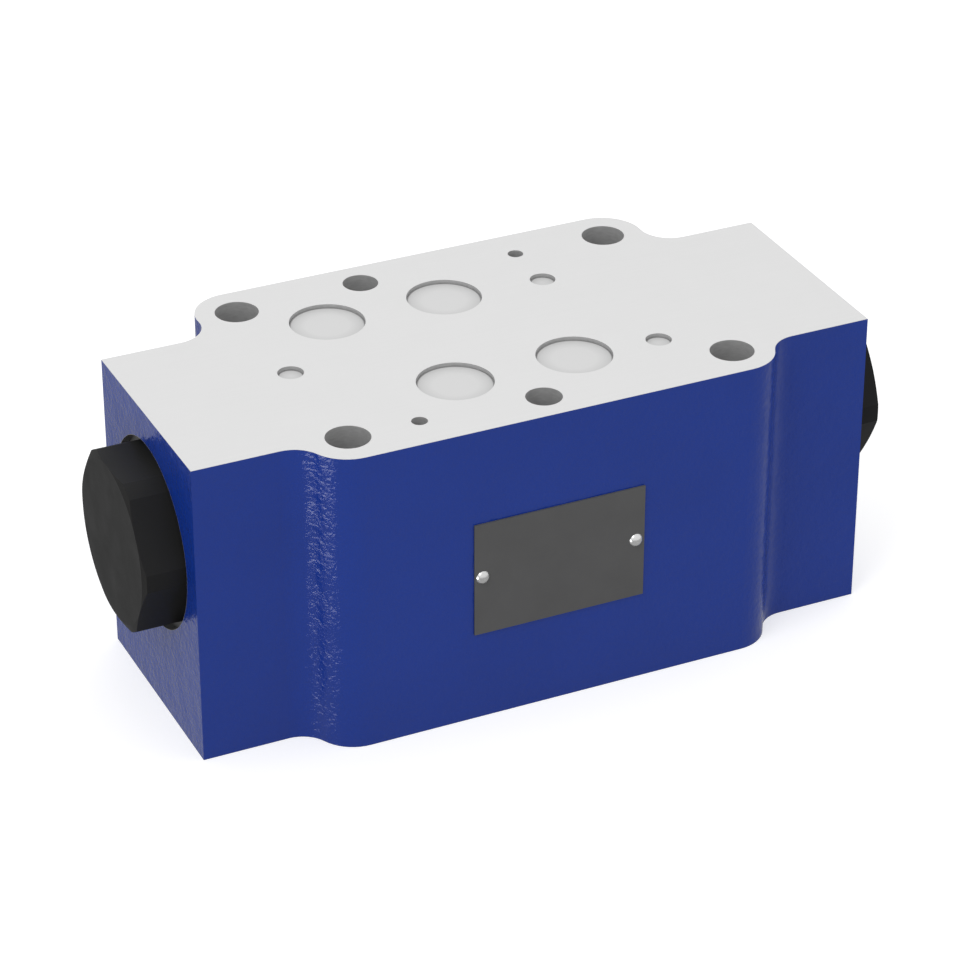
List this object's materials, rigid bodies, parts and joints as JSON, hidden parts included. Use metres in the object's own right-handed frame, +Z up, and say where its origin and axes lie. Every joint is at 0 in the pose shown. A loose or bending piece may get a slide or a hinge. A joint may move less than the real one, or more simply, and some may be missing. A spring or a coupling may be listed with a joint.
{
  "type": "hydraulic lock valve",
  "caption": "Sandwich-plate hydraulic lock valve: a blue cast body with a lobed middle, flat mounting faces with ports and bolt holes, and a hexagon screw plug at each end of its core bore.",
  "frame": {"origin": "middle of the four large bolt holes, on the lower mounting face", "axes": "+X along the core bore, towards the plug at the end with port Y; -Y towards the nameplate; +Z up through the plate to the upper mounting face"},
  "size_m": [0.199, 0.0924, 0.08],
  "materials": {
    "painted_casting": "blue paint on a cast skin, mounting faces ground bare",
    "hardened_steel": "ground",
    "spring_wire": "drawn wire",
    "blackened_steel": "black, satin",
    "nameplate_sheet": "dark grey, satin",
    "rivet_metal": "bright",
    "seal_rubber": "matt black",
    "closure_plastic": "light grey, smooth"
  },
  "bodies": {
    "housing": {"valve_body": "painted_casting", "nameplate": "nameplate_sheet", "left_seat_bush": "hardened_steel", "left_main_spring": "spring_wire", "left_screw_plug": "blackened_steel", "left_plug_seal": "seal_rubber", "left_nameplate_rivet": "rivet_metal", "right_seat_bush": "hardened_steel", "right_main_spring": "spring_wire", "right_screw_plug": "blackened_steel", "right_plug_seal": "seal_rubber", "right_nameplate_rivet": "rivet_metal", "port_seal_p": "seal_rubber", "port_closure_p": "closure_plastic", "port_seal_t": "seal_rubber", "port_closure_t": "closure_plastic", "port_seal_a": "seal_rubber", "port_closure_a": "closure_plastic", "port_seal_b": "seal_rubber", "port_closure_b": "closure_plastic", "port_seal_x": "seal_rubber", "port_closure_x": "closure_plastic", "port_seal_y": "seal_rubber", "port_closure_y": "closure_plastic", "port_seal_l": "seal_rubber", "port_closure_l": "closure_plastic"},
    "spool": {"control_spool": "hardened_steel"},
    "left_poppet": {"left_main_poppet": "hardened_steel", "left_spring_retainer": "hardened_steel", "left_pilot_spring": "spring_wire"},
    "left_ball": {"left_pilot_ball": "hardened_steel"},
    "right_poppet": {"right_main_poppet": "hardened_steel", "right_spring_retainer": "hardened_steel", "right_pilot_spring": "spring_wire"},
    "right_ball": {"right_pilot_ball": "hardened_steel"}
  },
  "joints": [
    {"name": "control_spool_slide", "type": "slide", "parent": "housing", "child": "spool", "axis": [1, 0, 0], "range_m": [-0.001, 0.001]},
    {"name": "left_poppet_slide", "type": "slide", "parent": "housing", "child": "left_poppet", "axis": [-1, 0, 0], "range_m": [0, 0.005], "stiffness_N_per_m": 6000, "springref_m": -0.006, "deforming": ["left_main_spring"]},
    {"name": "left_ball_slide", "type": "slide", "parent": "left_poppet", "child": "left_ball", "axis": [-1, 0, 0], "range_m": [0, 0.0015], "stiffness_N_per_m": 400, "springref_m": -0.003, "deforming": ["left_pilot_spring"]},
    {"name": "right_poppet_slide", "type": "slide", "parent": "housing", "child": "right_poppet", "axis": [1, 0, 0], "range_m": [0, 0.005], "stiffness_N_per_m": 6000, "springref_m": -0.006, "deforming": ["right_main_spring"]},
    {"name": "right_ball_slide", "type": "slide", "parent": "right_poppet", "child": "right_ball", "axis": [1, 0, 0], "range_m": [0, 0.0015], "stiffness_N_per_m": 400, "springref_m": -0.003, "deforming": ["right_pilot_spring"]}
  ]
}
